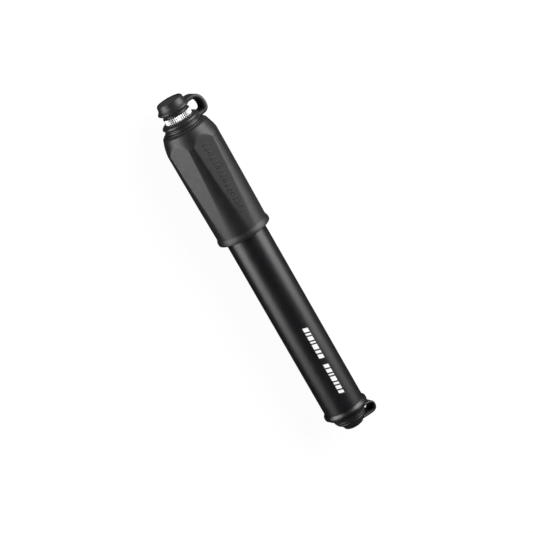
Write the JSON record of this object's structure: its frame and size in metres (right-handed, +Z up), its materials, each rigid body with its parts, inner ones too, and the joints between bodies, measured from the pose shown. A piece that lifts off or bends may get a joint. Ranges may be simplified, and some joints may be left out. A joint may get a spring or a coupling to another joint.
{
  "type": "mini pump",
  "caption": "Slim hand pump for bicycle tyres with a sliding fluted rubber grip, a hose stored in its hollow rod and a tethered rubber cap at each end.",
  "frame": {"origin": "on the pump's axis, at the middle of the closed pump's length, where a frame clip holds the barrel", "axes": "+X along the pump towards the grip's cap, +Z up with the pump lying on its side, both cap straps towards -Y"},
  "size_m": [0.186, 0.0285, 0.0274],
  "materials": {
    "barrel_finish": "satin anodised",
    "grip_rubber": "fine matt",
    "cap_rubber": "matt",
    "chuck_metal": "bright knurled",
    "seal_rubber": "smooth",
    "inner_plastic": "moulded",
    "poppet_plastic": "moulded",
    "rod_metal": "polished",
    "hose_rubber": "smooth",
    "hose_fitting_metal": "turned",
    "spring_steel": "wire"
  },
  "bodies": {
    "barrel": {"barrel_tube": "barrel_finish", "outlet_head": "barrel_finish", "outlet_head_oring": "seal_rubber", "check_valve_retainer": "inner_plastic", "check_valve_spring": "spring_steel", "rod_guide_bush": "inner_plastic", "rod_wiper": "seal_rubber", "topout_bumper": "seal_rubber", "bottom_cap_ring": "cap_rubber", "bottom_strap_base": "cap_rubber"},
    "check_valve": {"check_valve_poppet": "poppet_plastic", "check_valve_seal": "seal_rubber"},
    "piston": {"piston_head": "inner_plastic", "piston_oring": "seal_rubber", "piston_wear_ring": "poppet_plastic"},
    "handle": {"piston_rod": "rod_metal", "rod_end_plug": "rod_metal", "handle_core": "inner_plastic", "handle_head": "inner_plastic", "bottoming_bumper": "seal_rubber", "grip_overmold": "grip_rubber", "top_cap_ring": "cap_rubber", "top_strap_base": "cap_rubber"},
    "hose": {"hose_tube": "hose_rubber", "chuck_body": "chuck_metal", "chuck_gasket": "seal_rubber", "chuck_valve_pin": "hose_fitting_metal", "chuck_ferrule": "hose_fitting_metal", "connector_ferrule": "hose_fitting_metal", "hose_connector": "hose_fitting_metal", "connector_oring": "seal_rubber"},
    "top_cap": {"top_cap": "cap_rubber", "top_strap_cap": "cap_rubber"},
    "bottom_cap": {"bottom_cap": "cap_rubber", "bottom_strap_cap": "cap_rubber"}
  },
  "joints": [
    {"name": "pump_stroke", "type": "slide", "parent": "barrel", "child": "piston", "axis": [1, 0, 0], "range_m": [0, 0.113]},
    {"name": "handle_spin", "type": "hinge", "parent": "piston", "child": "handle", "pos_m": [-0.06, 0, 0], "axis": [1, 0, 0], "continuous": true},
    {"name": "hose_turn", "type": "hinge", "parent": "handle", "child": "hose", "pos_m": [0.08, 0, 0], "axis": [1, 0, 0], "continuous": true},
    {"name": "top_cap_hinge", "type": "hinge", "parent": "handle", "child": "top_cap", "pos_m": [0.0836, -0.0145, 0], "axis": [0, 0, -1], "range_deg": [0, 110]},
    {"name": "bottom_cap_hinge", "type": "hinge", "parent": "barrel", "child": "bottom_cap", "pos_m": [-0.089, -0.0131, 0], "axis": [0, 0, 1], "range_deg": [0, 110]},
    {"name": "check_valve_lift", "type": "slide", "parent": "barrel", "child": "check_valve", "axis": [-1, 0, 0], "range_m": [0, 0.0012], "stiffness_N_per_m": 60, "springref_m": -0.0005, "deforming": ["check_valve_spring"]}
  ]
}
